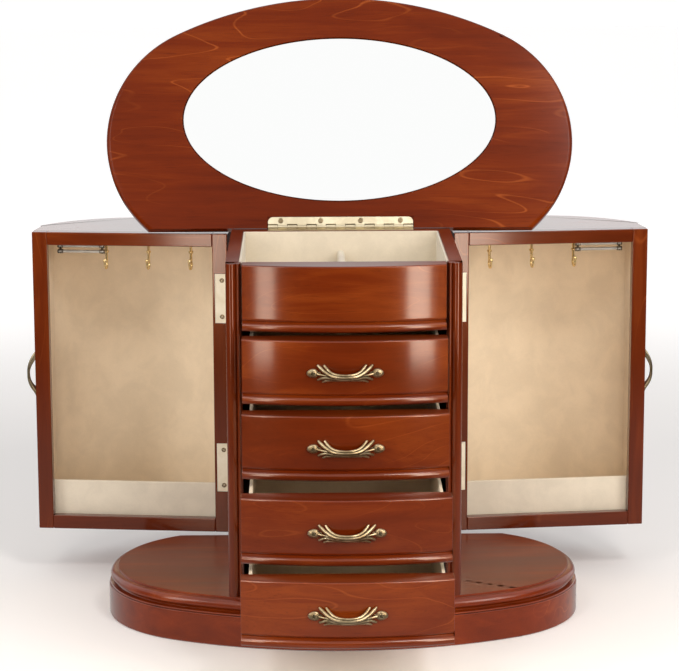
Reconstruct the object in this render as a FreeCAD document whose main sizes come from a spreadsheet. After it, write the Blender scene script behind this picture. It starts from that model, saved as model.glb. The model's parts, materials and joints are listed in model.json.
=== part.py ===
import FreeCAD, Part
import math
import os
import re
import Sketcher
from FreeCAD import Placement, Rotation, Vector

# Jewelry box on an oval plinth: a square column with a tray and four drawers, a curved door
# at each back corner of the column, and an oval lid with a mirror. Millimetres, +Z up, front
# towards -Y. The origin is the centre of the plinth's underside. The rest pose is the display
# pose: lid up, doors swung back, drawers pulled out by different amounts.

doc = FreeCAD.newDocument("jewelryBox")

# ---------------------------------------------------------------- driving dimensions

sizes = {
    # plan outline: four-centre oval, cut straight at the back
    "endRadius": 100, "endCentre": 90, "faceRadius": 300, "backDepth": 80,
    "lidOverhang": 4.5, "bodyInset": 7,
    # base
    "plinthHeight": 26, "neckHeight": 3.5, "neckInset": 5, "baseHeight": 38, "topInset": 1.5,
    "plinthRound": 2, "topRound": 4.5, "topUnderRound": 1.5,
    # column
    "columnHalf": 90, "wall": 10, "columnTop": 299, "postFront": 101,
    "postWide": 12, "postRound": 3, "boardFront": 99,
    # tray
    "trayFloor": 246.5, "trayBoard": 4, "frontTop": 299, "frontBottom": 248, "frontHalf": 77.5,
    "beadHeight": 7, "beadOut": 2.5, "frontBack": 89, "lining": 1.4, "liningTop": 298.5,
    "dividerWide": 6, "dividerTop": 283,
    # drawers
    "drawerBase": 39, "drawerHeight": 49.5, "drawerPitch": 52.5, "boxHalf": 72, "boxWall": 3,
    "boxBack": 64, "boxDrop": 2.5, "boxFloor": 3, "skin": 1.2, "boardUnder": 0.3,
    "boardOver": 0.5, "guideClear": 0.6, "guideHeight": 6, "guideFront": 85,
    "pullOut1": 22, "pullOut2": 45, "pullOut3": 90, "pullOut4": 122,
    # doors, given closed
    "chord": 90.8, "doorBack": 78.7, "doorFront": 85.6, "doorBottom": 39.5, "doorTop": 294.5,
    "frameThick": 8, "stile": 12.6, "topRail": 11, "bottomRail": 11.5, "shellWall": 8,
    "boardThick": 8.5, "pinSide": 90.4, "pinBack": 82.5, "doorSwing": 96.3,
    "pocketTop": 80, "pocketThick": 2.5, "pocketGap": 1,
    "hookTop": 286, "hookLong": 18, "hookBend": 3.6, "hookWire": 1.0, "hookIn": 7.5,
    "hookBall": 1.35, "hookCollar": 2.2, "collarHigh": 1,
    "hook1": 36.5, "hook2": 72.3, "hook3": 108,
    "railStart": 110, "railLong": 37, "railWire": 1.3, "railZ": 277, "railStep": 4.6,
    "railIn": 2.6, "bracketHalf": 2.2, "bracketThick": 1.6, "bracketUnder": 0.6,
    "doorPullIn": 19.5, "doorPullZ": 170,
    # butt hinges of the doors
    "leafLong": 12, "leafGap": 2.3, "leafThick": 1, "leafHigh": 41.4, "knuckle": 2,
    "pinRadius": 0.9, "pinFit": 0.05, "knuckleClear": 0.15, "hingeLow": 75,
    "hingeHigh": 219.5, "screwHead": 2, "screwProud": 0.35, "screwAside": 6.2,
    # lid, given closed
    "lidBottom": 299.3, "lidThick": 14, "lidRound": 5, "lidSwing": 115.4,
    "lidShift": 4.5, "lidBack": 82.9, "lidPinY": 81.8, "lidPinZ": 300.2,
    "lidLeafHalf": 60, "lidLeafLong": 8.6,
    "mirrorHalfWide": 131.4, "mirrorHalfTall": 72.6, "mirrorCentre": 92.5,
    "mirrorThick": 2, "mirrorSunk": 0.5, "recessSpare": 0.2, "notchSpare": 0.4,
    "lidScrewStep": 33, "lidScrewIn": 3.3, "lidScrewProud": 0.2,
    "tabLap": 0.2,
    # pulls
    "pullShare": 0.514, "screwSpacing": 48.5, "pullProud": 11, "barRadius": 1.8, "pullGap": 0.7,
    "barIn": 3.5, "barOut": 2, "leafRadius": 4.2, "leafDepth": 3, "leafRound": 1.2,
    "pullScrew": 1.9, "pullScrewHigh": 0.7, "strandRadius": 1.1,
}

sheet = doc.addObject("Spreadsheet::Sheet", "dimensions")
for row, (alias, number) in enumerate(sizes.items(), 1):
    sheet.set("A%d" % row, alias)
    sheet.set("B%d" % row, str(number))
    sheet.setAlias("B%d" % row, alias)
doc.recompute()


def bound(rule):
    """The rule as a FreeCAD expression, with every alias read from the sheet."""
    return re.sub(r"[A-Za-z]\w*", lambda word: "dimensions." + word.group(0)
                  if word.group(0) in sizes else word.group(0), rule)


def value(rule):
    """The rule's present value, for starting positions and for placements."""
    return float(sheet.evalExpression(bound(rule)))


faceCentre = "sqrt((faceRadius - endRadius)^2 - endCentre^2)"
drawerBottom = "(drawerBase + drawerPitch * %d)"
up = Vector(0, 0, 1)
alongX = Vector(1, 0, 0)

# ---------------------------------------------------------------- poses

lidPose = Placement(Vector(), Rotation(alongX, -value("lidSwing")),
                    Vector(0, value("lidPinY"), value("lidPinZ")))


def doorPose(side):
    pin = Vector(side * value("pinSide"), value("pinBack"), 0)
    return Placement(Vector(), Rotation(up, side * value("doorSwing")), pin)


def drawerPose(number):
    return Placement(Vector(0, -value("pullOut%d" % number), 0), Rotation())


# ---------------------------------------------------------------- building blocks

pieces = []


def keep(solid, label, pose=None):
    """Names a finished sub-part and moves it to its rest pose."""
    solid.Label = label
    if pose is not None:
        solid.Placement = pose
    pieces.append(solid)
    return solid


def block(label, start, end):
    """A box between two corners, each given as three rules."""
    solid = doc.addObject("Part::Box", label)
    for axis, side, low, high in zip("xyz", ("Length", "Width", "Height"), start, end):
        solid.setExpression(side, bound("(%s) - (%s)" % (high, low)))
        solid.setExpression("Placement.Base." + axis, bound(low))
    return solid


def sideBlock(label, side, start, end):
    """A box on the right of the middle, or its mirror image on the left."""
    if side > 0:
        return block(label, start, end)
    mirroredStart = ("-(%s)" % end[0],) + tuple(start[1:])
    mirroredEnd = ("-(%s)" % start[0],) + tuple(end[1:])
    return block(label, mirroredStart, mirroredEnd)


def rod(label, radius, height, place, direction=up):
    """A cylinder whose axis starts at place and runs along direction."""
    solid = doc.addObject("Part::Cylinder", label)
    solid.setExpression("Radius", bound(radius))
    solid.setExpression("Height", bound(height))
    solid.Placement = Placement(Vector(*[value(rule) for rule in place]),
                                Rotation(up, direction))
    return solid


def cut(label, base, tool):
    solid = doc.addObject("Part::Cut", label)
    solid.Base = base
    solid.Tool = tool
    return solid


def fuse(label, members):
    solid = doc.addObject("Part::MultiFuse", label)
    solid.Shapes = members
    return solid


def group(label, members):
    """Identical or matching solids that share one node."""
    solid = doc.addObject("Part::Compound", label)
    solid.Links = members
    return solid


def shaped(label, shape):
    solid = doc.addObject("Part::Feature", label)
    solid.Shape = shape
    return solid


def tie(sketch, index, label, rule):
    """Names a dimension of the sketch and binds it to the sheet."""
    sketch.renameConstraint(index, label)
    sketch.setExpression("Constraints." + label, bound(rule))


def sketchOn(body, label, level):
    """An empty sketch parallel to the ground at the given level."""
    sketch = body.newObject("Sketcher::SketchObject", label)
    plane = [feature for feature in body.Origin.OriginFeatures
             if feature.Role == "XY_Plane"][0]
    sketch.AttachmentSupport = (plane, "")
    sketch.MapMode = "FlatFace"
    sketch.setExpression("AttachmentOffset.Base.z", bound(level))
    return sketch


def pad(body, label, sketch, height):
    feature = body.newObject("PartDesign::Pad", label)
    feature.Profile = sketch
    feature.setExpression("Length", bound(height))
    return feature


def roundEdges(body, label, radius, wanted):
    """Rounds the edges of the body's present shape that satisfy the test."""
    doc.recompute()
    last = body.Tip
    names = ["Edge%d" % number for number, edge in enumerate(last.Shape.Edges, 1)
             if wanted(edge)]
    feature = body.newObject("PartDesign::Fillet", label)
    feature.Base = (last, names)
    feature.setExpression("Radius", bound(radius))
    return feature


def flatAt(level):
    """Tests for an edge that lies flat at the given level."""
    def wanted(edge):
        box = edge.BoundBox
        return box.ZLength < 1e-3 and abs(box.ZMin - level) < 1e-3
    return wanted


def curvedAt(level):
    """Tests for such an edge that is also curved."""
    return lambda edge: flatAt(level)(edge) and not straight(edge)


def straight(edge):
    return edge.Curve.TypeId == "Part::GeomLine"


def drawOval(sketch, offset, depth="backDepth"):
    """The plan outline, offset outwards: two round ends, a bowed front, a straight back."""
    end = value("endRadius + " + offset)
    face = value("faceRadius + " + offset)
    across = value("endCentre")
    behind = value(faceCentre)
    back = value(depth)
    turn = math.atan2(behind, across)
    stop = math.asin(back / end)
    corner = across + end * math.cos(stop)
    right = sketch.addGeometry(Part.ArcOfCircle(
        Part.Circle(Vector(across, 0, 0), up, end), -turn, stop))
    left = sketch.addGeometry(Part.ArcOfCircle(
        Part.Circle(Vector(-across, 0, 0), up, end), math.pi - stop, math.pi + turn))
    front = sketch.addGeometry(Part.ArcOfCircle(
        Part.Circle(Vector(0, behind, 0), up, face), turn - math.pi, -turn))
    line = sketch.addGeometry(Part.LineSegment(Vector(corner, back, 0), Vector(-corner, back, 0)))
    join = Sketcher.Constraint
    sketch.addConstraint(join("Tangent", front, 2, right, 1))
    sketch.addConstraint(join("Tangent", left, 2, front, 1))
    sketch.addConstraint(join("Coincident", right, 2, line, 1))
    sketch.addConstraint(join("Coincident", line, 2, left, 1))
    sketch.addConstraint(join("PointOnObject", right, 3, -1))
    sketch.addConstraint(join("PointOnObject", left, 3, -1))
    sketch.addConstraint(join("Horizontal", line))
    tie(sketch, sketch.addConstraint(join("DistanceX", -1, 1, right, 3, across)),
        "rightCentre", "endCentre")
    tie(sketch, sketch.addConstraint(join("DistanceX", left, 3, -1, 1, across)),
        "leftCentre", "endCentre")
    tie(sketch, sketch.addConstraint(join("Radius", right, end)),
        "rightRadius", "endRadius + " + offset)
    tie(sketch, sketch.addConstraint(join("Radius", left, end)),
        "leftRadius", "endRadius + " + offset)
    tie(sketch, sketch.addConstraint(join("Radius", front, face)),
        "frontRadius", "faceRadius + " + offset)
    tie(sketch, sketch.addConstraint(join("DistanceY", -1, 1, line, 1, back)),
        "back", depth)


def drawLid(sketch):
    """The lid's outline: the plan outline set further back, with a back edge of its own."""
    sketch.setExpression("AttachmentOffset.Base.y", bound("lidShift"))
    drawOval(sketch, "lidOverhang", "lidBack - lidShift")


def drawBow(sketch, offset):
    """A bowed front between the posts: flat back, two short sides, an arc in front."""
    half = value("frontHalf")
    back = value("frontBack")
    behind = value(faceCentre)
    radius = value("faceRadius - bodyInset + " + offset)
    turn = math.acos(half / radius)
    reach = behind - radius * math.sin(turn)
    arc = sketch.addGeometry(Part.ArcOfCircle(
        Part.Circle(Vector(0, behind, 0), up, radius), turn - math.pi, -turn))
    corners = [Vector(half, reach, 0), Vector(half, -back, 0),
               Vector(-half, -back, 0), Vector(-half, reach, 0)]
    right, rear, left = [sketch.addGeometry(Part.LineSegment(start, end))
                         for start, end in zip(corners, corners[1:])]
    join = Sketcher.Constraint
    for first, second in ((arc, right), (right, rear), (rear, left), (left, arc)):
        sketch.addConstraint(join("Coincident", first, 2, second, 1))
    sketch.addConstraint(join("Vertical", right))
    sketch.addConstraint(join("Vertical", left))
    sketch.addConstraint(join("Horizontal", rear))
    sketch.addConstraint(join("PointOnObject", arc, 3, -2))
    tie(sketch, sketch.addConstraint(join("DistanceY", -1, 1, arc, 3, behind)),
        "arcCentre", faceCentre)
    tie(sketch, sketch.addConstraint(join("Radius", arc, radius)),
        "arcRadius", "faceRadius - bodyInset + " + offset)
    tie(sketch, sketch.addConstraint(join("DistanceX", -1, 1, rear, 1, half)),
        "rightHalf", "frontHalf")
    tie(sketch, sketch.addConstraint(join("DistanceX", rear, 2, -1, 1, half)),
        "leftHalf", "frontHalf")
    tie(sketch, sketch.addConstraint(join("DistanceY", rear, 1, -1, 1, back)),
        "rearDepth", "frontBack")


def drawDoor(sketch, side, chord, inset):
    """The closed door's plan: a flat chord side, two flat ends and one round wall."""
    radius = value("endRadius - bodyInset - (%s)" % inset)
    across = value("endCentre")
    flat = value(chord)
    back = value("doorBack - (%s)" % inset)
    front = value("doorFront - (%s)" % inset)
    start = -math.asin(front / radius)
    stop = math.asin(back / radius)
    low = Vector(side * (across + radius * math.cos(start)), -front, 0)
    high = Vector(side * (across + radius * math.cos(stop)), back, 0)
    angles = (start, stop) if side > 0 else (math.pi - stop, math.pi - start)
    arc = sketch.addGeometry(Part.ArcOfCircle(
        Part.Circle(Vector(side * across, 0, 0), up, radius), *angles))
    first, last = (low, high) if side > 0 else (high, low)
    corners = [last, Vector(side * flat, last.y, 0), Vector(side * flat, first.y, 0), first]
    lines = [sketch.addGeometry(Part.LineSegment(begin, end))
             for begin, end in zip(corners, corners[1:])]
    join = Sketcher.Constraint
    loop = [arc] + lines
    for one, following in zip(loop, lines + [arc]):
        sketch.addConstraint(join("Coincident", one, 2, following, 1))
    sketch.addConstraint(join("Horizontal", lines[0]))
    sketch.addConstraint(join("Vertical", lines[1]))
    sketch.addConstraint(join("Horizontal", lines[2]))
    sketch.addConstraint(join("PointOnObject", arc, 3, -1))
    origin = (-1, 1)
    centre = (arc, 3)
    chordPoint = (lines[1], 1)
    sidewise = (origin, centre) if side > 0 else (centre, origin)
    tie(sketch, sketch.addConstraint(join("DistanceX", *sidewise[0], *sidewise[1], across)),
        "arcCentre", "endCentre")
    sidewise = (origin, chordPoint) if side > 0 else (chordPoint, origin)
    tie(sketch, sketch.addConstraint(join("DistanceX", *sidewise[0], *sidewise[1], flat)),
        "chordPlace", chord)
    tie(sketch, sketch.addConstraint(join("Radius", arc, radius)),
        "arcRadius", "endRadius - bodyInset - (%s)" % inset)
    backEnd, frontEnd = (lines[0], lines[2]) if side > 0 else (lines[2], lines[0])
    tie(sketch, sketch.addConstraint(join("DistanceY", -1, 1, backEnd, 1, back)),
        "backEnd", "doorBack - (%s)" % inset)
    tie(sketch, sketch.addConstraint(join("DistanceY", frontEnd, 1, -1, 1, front)),
        "frontEnd", "doorFront - (%s)" % inset)


def plate(label, draw, level, height):
    """A body with one pad: draw makes the outline, level is its underside."""
    body = doc.addObject("PartDesign::Body", label + "Body")
    sketch = sketchOn(body, label + "Outline", level)
    draw(sketch)
    pad(body, label + "Pad", sketch, height)
    return body


# ---------------------------------------------------------------- base

def makeBase():
    plinth = plate("plinth", lambda sketch: drawOval(sketch, "0"), "0", "plinthHeight")
    roundEdges(plinth, "plinthEase", "plinthRound", curvedAt(value("plinthHeight")))
    neck = sketchOn(plinth, "neckOutline", "plinthHeight")
    drawOval(neck, "(-neckInset)")
    pad(plinth, "neckPad", neck, "neckHeight")
    keep(plinth, "base_plinth")
    under = "plinthHeight + neckHeight"
    top = plate("baseTop", lambda sketch: drawOval(sketch, "(-topInset)"), under,
                "baseHeight - plinthHeight - neckHeight")
    roundEdges(top, "topEase", "topRound", curvedAt(value("baseHeight")))
    roundEdges(top, "topUnderEase", "topUnderRound", curvedAt(value(under)))
    keep(top, "base_top")


# ---------------------------------------------------------------- column

def makeColumn():
    for side, word in ((-1, "left"), (1, "right")):
        panel = sideBlock(word + "Panel", side,
                          ("columnHalf - wall", "-frontBack", "baseHeight"),
                          ("columnHalf", "backDepth", "columnTop"))
        for level in ("hingeLow", "hingeHigh"):
            recess = sideBlock(word + "Recess", side,
                               ("columnHalf - leafThick", "pinBack - leafGap - leafLong", level),
                               ("columnHalf + 1", "backDepth + 1", level + " + leafHigh"))
            panel = cut(word + "Mortised", panel, recess)
        keep(panel, word + "_side_panel")
    back = block("backBoard", ("wall - columnHalf", "backDepth - wall", "baseHeight"),
                 ("columnHalf - wall", "backDepth", "columnTop"))
    recess = block("backRecess",
                   ("-lidLeafHalf - recessSpare", "backDepth - lidLeafLong - recessSpare",
                    "columnTop - leafThick"),
                   ("lidLeafHalf + recessSpare", "backDepth + 1", "columnTop + 1"))
    keep(cut("backMortised", back, recess), "back_panel")
    posts = []
    for side in (-1, 1):
        post = sideBlock("post", side,
                         ("columnHalf - postWide", "-postFront", "baseHeight"),
                         ("columnHalf", "-frontBack", "columnTop"))
        eased = doc.addObject("Part::Fillet", "postEased")
        eased.Base = post
        doc.recompute()
        radius = value("postRound")
        frontFace = -value("postFront") + 1
        eased.Edges = [(number, radius, radius) for number, edge in enumerate(post.Shape.Edges, 1)
                       if edge.BoundBox.ZLength > 1 and edge.BoundBox.YMax < frontFace]
        posts.append(eased)
    keep(group("posts", posts), "front_posts")


def makeTray():
    keep(block("trayFloorBoard", ("wall - columnHalf", "-frontBack", "trayFloor"),
               ("columnHalf - wall", "backDepth - wall", "trayFloor + trayBoard")), "tray_floor")
    front = plate("trayFront", lambda sketch: drawBow(sketch, "0"), "frontBottom",
                  "frontTop - frontBottom")
    bead = sketchOn(front, "trayBead", "frontBottom")
    drawBow(bead, "beadOut")
    pad(front, "trayBeadPad", bead, "beadHeight")
    keep(front, "tray_front")
    outer = block("liningOuter", ("wall - columnHalf", "-frontBack", "trayFloor + trayBoard"),
                  ("columnHalf - wall", "backDepth - wall", "liningTop"))
    inner = block("liningInner",
                  ("wall - columnHalf + lining", "lining - frontBack", "trayFloor + trayBoard + lining"),
                  ("columnHalf - wall - lining", "backDepth - wall - lining", "liningTop + 1"))
    keep(cut("trayLining", outer, inner), "tray_lining")
    keep(block("dividerBoard",
               ("-dividerWide / 2", "lining - frontBack", "trayFloor + trayBoard + lining"),
               ("dividerWide / 2", "backDepth - wall - lining", "dividerTop")), "tray_divider")


def makeShelves():
    boards = []
    for number in (1, 2, 3):
        low = drawerBottom % (number - 1) + " + drawerHeight + boardOver"
        high = drawerBottom % number + " - boardUnder"
        wide = block("boardWide", ("wall - columnHalf", "-frontBack", low),
                     ("columnHalf - wall", "backDepth - wall", high))
        nose = block("boardNose", ("postWide - columnHalf", "-boardFront", low),
                     ("columnHalf - postWide", "-frontBack", high))
        boards.append(fuse("dustBoard", [wide, nose]))
    keep(group("boards", boards), "dust_boards")
    guides = []
    for number in range(4):
        low = drawerBottom % number + " - boardUnder" if number else "baseHeight"
        for side in (-1, 1):
            guides.append(sideBlock("guide", side,
                                    ("boxHalf + guideClear", "-guideFront", low),
                                    ("columnHalf - wall", "boxBack", low + " + guideHeight")))
    keep(group("guides", guides), "drawer_guides")


# ---------------------------------------------------------------- pulls

# each side's strands run from the bar to a free tip: along X, along Y and up
strandPaths = (
    (Vector(7, -8.2, 0), Vector(14.5, -5.4, 1.6), Vector(20, -1.8, 5.8)),
    (Vector(7, -8.2, -1), Vector(14, -5.2, -2.6), Vector(20, -1.8, -4.6)),
)


def pullShapes():
    """The cast handle and its two screws, lying along X and standing out towards -Y."""
    reach = value("screwSpacing") / 2
    thick = value("barRadius")
    end = Vector(reach - value("barIn"), -value("barOut"), 0)
    crown = Vector(0, thick - value("pullProud"), 0)
    solids = [pipe([Part.Arc(Vector(-end.x, end.y, end.z), crown, end)], thick)]
    screws = []
    depth = value("leafDepth")
    outwards = Vector(0, -1, 0)
    for side in (-1, 1):
        foot = Vector(side * reach, 0, 0)
        leaf = Part.makeCylinder(value("leafRadius"), depth, foot, outwards)
        rim = [edge for edge in leaf.Edges if edge.BoundBox.YMax < 0.1 - depth]
        solids.append(leaf.makeFillet(value("leafRound"), rim))
        for path in strandPaths:
            curve = Part.Arc(*[Vector(side * spot.x, spot.y, spot.z) for spot in path])
            solids.append(pipe([curve], value("strandRadius")))
        screws.append(Part.makeCylinder(value("pullScrew"), value("pullScrewHigh"),
                                        foot + outwards * depth, outwards))
    handle = solids[0].multiFuse(solids[1:])
    return Part.makeCompound([handle.removeSplitter()] + screws)


def pipe(curves, radius):
    """A round bar along the curves."""
    path = Part.Wire([curve.toShape() for curve in curves])
    edge = path.Edges[0]
    start = edge.valueAt(edge.FirstParameter)
    heading = edge.tangentAt(edge.FirstParameter)
    section = Part.Wire([Part.makeCircle(radius, start, heading)])
    return path.makePipeShell([section], True, True)


# ---------------------------------------------------------------- drawers

def makeDrawer(number):
    """Drawers are numbered from the top."""
    step = 4 - number
    low = drawerBottom % step
    pose = drawerPose(number)
    word = "drawer%d" % number
    front = plate(word + "Front", lambda sketch: drawBow(sketch, "0"), low, "drawerHeight")
    bead = sketchOn(front, word + "Bead", low)
    drawBow(bead, "beadOut")
    pad(front, word + "BeadPad", bead, "beadHeight")
    keep(front, "drawer_%d_front" % number, pose)
    top = low + " + drawerHeight - boxDrop"
    outer = block(word + "Outer", ("-boxHalf", "-frontBack", low), ("boxHalf", "boxBack", top))
    inner = block(word + "Inner",
                  ("boxWall - boxHalf", "-frontBack - 1", low + " + boxFloor"),
                  ("boxHalf - boxWall", "boxBack - boxWall", top + " + 1"))
    keep(cut(word + "Box", outer, inner), "drawer_%d_box" % number, pose)
    outer = block(word + "SkinOuter",
                  ("boxWall - boxHalf", "-frontBack", low + " + boxFloor"),
                  ("boxHalf - boxWall", "boxBack - boxWall", top))
    inner = block(word + "SkinInner",
                  ("boxWall + skin - boxHalf", "skin - frontBack", low + " + boxFloor + skin"),
                  ("boxHalf - boxWall - skin", "boxBack - boxWall - skin", top + " + 1"))
    keep(cut(word + "Lining", outer, inner), "drawer_%d_lining" % number, pose)
    crown = value("faceRadius - bodyInset - " + faceCentre)
    height = value(low + " + drawerHeight * pullShare")
    pull = shaped(word + "Pull", pullShapes())
    place = Placement(Vector(0, value("pullGap") - crown, height), Rotation())
    keep(pull, "drawer_%d_pull" % number, pose.multiply(place))


# ---------------------------------------------------------------- doors

def openingAlong(distance):
    """How far along Y a place lies that is the given distance from the hinge pin."""
    return "pinBack - (%s)" % distance


def makeDoor(side, word):
    pose = doorPose(side)
    behind = "chord + frameThick"
    frame = sideBlock(word + "FrameOuter", side, ("chord", "-doorFront", "doorBottom"),
                      (behind, "doorBack", "doorTop"))
    hole = sideBlock(word + "FrameHole", side,
                     ("chord - 1", "stile - doorFront", "doorBottom + bottomRail"),
                     (behind + " + 1", "doorBack - stile", "doorTop - topRail"))
    frame = cut(word + "Frame", frame, hole)
    for level in ("hingeLow", "hingeHigh"):
        recess = sideBlock(word + "LeafRecess", side,
                           ("chord - 1", "pinBack - leafGap - leafLong", level),
                           ("chord + leafThick", "doorBack + 1", level + " + leafHigh"))
        frame = cut(word + "FrameCut", frame, recess)
    keep(frame, word + "_door_face_frame", pose)
    low = "doorBottom + boardThick"
    high = "doorTop - boardThick"
    keep(plate(word + "DoorBottom", lambda sketch: drawDoor(sketch, side, behind, "0"),
               "doorBottom", "boardThick"), word + "_door_bottom_board", pose)
    keep(plate(word + "DoorTop", lambda sketch: drawDoor(sketch, side, behind, "0"),
               high, "boardThick"), word + "_door_top_board", pose)
    tall = "%s - (%s)" % (high, low)
    outer = plate(word + "ShellOuter", lambda sketch: drawDoor(sketch, side, behind, "0"),
                  low, tall)
    inner = plate(word + "ShellInner",
                  lambda sketch: drawDoor(sketch, side, behind + " - 1", "shellWall"), low, tall)
    keep(cut(word + "Shell", outer, inner), word + "_door_shell", pose)
    outer = plate(word + "LiningOuter",
                  lambda sketch: drawDoor(sketch, side, behind, "shellWall"), low, tall)
    inner = plate(word + "LiningInner",
                  lambda sketch: drawDoor(sketch, side, behind + " - 1", "shellWall + skin"),
                  low + " + skin", tall + " - 2 * skin")
    keep(cut(word + "Lining", outer, inner), word + "_door_lining", pose)
    edge = "shellWall + skin"
    pocket = sideBlock(word + "Pocket", side,
                       (behind + " + pocketGap", "%s - doorFront" % edge, low + " + skin"),
                       (behind + " + pocketGap + pocketThick", "doorBack - (%s)" % edge,
                        "pocketTop"))
    keep(group(word + "PocketPanel", [pocket]), word + "_door_pocket_panel", pose)
    keep(shaped(word + "Hooks", hookShapes(side)), word + "_door_hooks", pose)
    keep(shaped(word + "Rail", railShape(side)), word + "_door_chain_rail", pose)
    place = Placement(Vector(side * value("chord + doorPullIn"), -value("doorFront"),
                             value("doorPullZ")), Rotation(Vector(0, 1, 0), 90))
    keep(shaped(word + "DoorPull", pullShapes()), word + "_door_pull", pose.multiply(place))


def hookShapes(side):
    """Three hooks hanging from the top board: a straight shank, a half turn and a ball tip."""
    hooks = []
    wire = value("hookWire")
    bend = value("hookBend")
    top = value("hookTop - skin")
    turn = value("hookTop - hookLong")
    x = side * value("chord + frameThick + hookIn")
    for number in (1, 2, 3):
        y = value(openingAlong("hook%d" % number))
        front = x - side * 2 * bend
        shank = Part.LineSegment(Vector(x, y, top), Vector(x, y, turn))
        curl = Part.Arc(Vector(x, y, turn), Vector(x - side * bend, y, turn - bend),
                        Vector(front, y, turn))
        tip = Part.makeSphere(value("hookBall"), Vector(front, y, turn))
        high = value("collarHigh")
        collar = Part.makeCylinder(value("hookCollar"), high, Vector(x, y, top - high), up)
        hooks.append(pipe([shank, curl], wire).multiFuse([tip, collar]))
    return Part.makeCompound(hooks)


def railShape(side):
    """A short double rod between two small brackets, just behind the face frame."""
    x = side * value("chord + frameThick + railIn")
    start = value(openingAlong("railStart"))
    length = value("railLong")
    solids = []
    for step in (0, 1):
        z = value("railZ + railStep * %d" % step)
        solids.append(Part.makeCylinder(value("railWire"), length, Vector(x, start, z),
                                        Vector(0, -1, 0)))
    low = value("railZ - railWire - bracketUnder")
    tall = value("hookTop - skin") - low
    half = value("bracketHalf")
    thick = value("bracketThick")
    for y in (start, start - length - thick):
        solids.append(Part.makeBox(2 * half, thick, tall, Vector(x - half, y, low)))
    return solids[0].multiFuse(solids[1:]).removeSplitter()


# ---------------------------------------------------------------- butt hinges

doorKnuckles = 5


def leafSolid(label, side, level, moving):
    """One leaf: a plate let into the wood and its knuckles round the pin."""
    inner, outer = ("chord", "chord + leafThick") if moving else \
        ("columnHalf - leafThick", "columnHalf")
    near = "pinBack - leafGap"
    solids = [sideBlock(label + "Plate", side, (inner, near + " - leafLong", level),
                        (outer, near, level + " + leafHigh"))]
    spans = (1, 3) if moving else (0, 2, 4)
    share = "leafHigh / %d" % doorKnuckles
    for span in spans:
        low = "%s + %s * %d + knuckleClear" % (level, share, span)
        tall = share + " - 2 * knuckleClear"
        high = "%s + %s * %d - knuckleClear" % (level, share, span + 1)
        solids.append(sideBlock(label + "Tab", side, (inner, near, low), (outer, "pinBack", high)))
        solids.append(rod(label + "Knuckle", "knuckle", tall,
                          ("%d * pinSide" % side, "pinBack", low)))
    bore = rod(label + "Bore", "pinRadius + pinFit", "leafHigh + 2",
               ("%d * pinSide" % side, "pinBack", level + " - 1"))
    return cut(label, fuse(label + "Whole", solids), bore)


def leafScrews(label, side, level, plane, outward):
    """Two screw heads standing slightly proud of a leaf."""
    heads = []
    for share in (0.13, 0.87):
        place = ("%d * (%s)" % (side, plane), "pinBack - leafGap - screwAside",
                 "%s + leafHigh * %g" % (level, share))
        heads.append(rod(label, "screwHead", "screwProud", place, Vector(side * outward, 0, 0)))
    return heads


def makeButtHinges():
    fixed, fixedScrews, pins = [], [], []
    for side, word in ((-1, "left"), (1, "right")):
        moving, movingScrews = [], []
        for level in ("hingeLow", "hingeHigh"):
            fixed.append(leafSolid("fixedLeaf", side, level, False))
            moving.append(leafSolid("doorLeaf", side, level, True))
            movingScrews += leafScrews("doorScrew", side, level, "chord", -1)
            fixedScrews += leafScrews("fixedScrew", side, level, "columnHalf", 1)
            pins.append(rod("hingePin", "pinRadius", "leafHigh",
                            ("%d * pinSide" % side, "pinBack", level)))
        keep(group(word + "Leaves", moving), word + "_door_hinge_leaves", doorPose(side))
        keep(group(word + "Screws", movingScrews), word + "_door_hinge_screws", doorPose(side))
    keep(group("fixedLeaves", fixed), "door_hinge_fixed_leaves")
    keep(group("fixedScrews", fixedScrews), "door_hinge_fixed_screws")
    keep(group("hingePins", pins), "door_hinge_pins")


# ---------------------------------------------------------------- lid

def makeLid():
    panel = plate("lidPanel", drawLid, "lidBottom", "lidThick")
    roundEdges(panel, "lidTopEase", "lidRound", flatAt(value("lidBottom + lidThick")))
    roundEdges(panel, "lidUnderEase", "lidRound", curvedAt(value("lidBottom")))
    pool = doc.addObject("Part::Ellipse", "mirrorEdge")
    pool.setExpression("MajorRadius", bound("mirrorHalfWide"))
    pool.setExpression("MinorRadius", bound("mirrorHalfTall"))
    centre = Vector(0, value("backDepth - mirrorCentre"), 0)
    pool.Placement = Placement(centre, Rotation())
    recess = prism("mirrorRecess", pool, "mirrorSunk + mirrorThick + recessSpare + 1",
                   "lidBottom - 1")
    notch = block("knuckleNotch",
                  ("-lidLeafHalf - notchSpare", "lidPinY - knuckle - notchSpare", "lidBottom - 1"),
                  ("lidLeafHalf + notchSpare", "lidBack + 1", "lidPinZ + knuckle + notchSpare"))
    seat = block("leafSeat",
                 ("-lidLeafHalf - notchSpare", "lidPinY - lidLeafLong - recessSpare",
                  "lidBottom - 1"),
                 ("lidLeafHalf + notchSpare", "lidPinY", "lidBottom + leafThick"))
    lid = cut("lidRecessed", panel, recess)
    for tool in (notch, seat):
        lid = cut("lidCut", lid, tool)
    keep(lid, "lid_panel", lidPose)
    glass = prism("mirrorGlass", pool, "mirrorThick", "lidBottom + mirrorSunk")
    keep(group("mirrorPlate", [glass]), "lid_mirror", lidPose)


def prism(label, outline, height, level):
    """A solid with the outline's shape, standing on the given level."""
    solid = doc.addObject("Part::Extrusion", label)
    solid.Base = outline
    solid.DirMode = "Custom"
    solid.Dir = up
    solid.Solid = True
    solid.setExpression("LengthFwd", bound(height))
    solid.setExpression("Placement.Base.z", bound(level))
    return solid


lidKnuckles = 15


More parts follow.
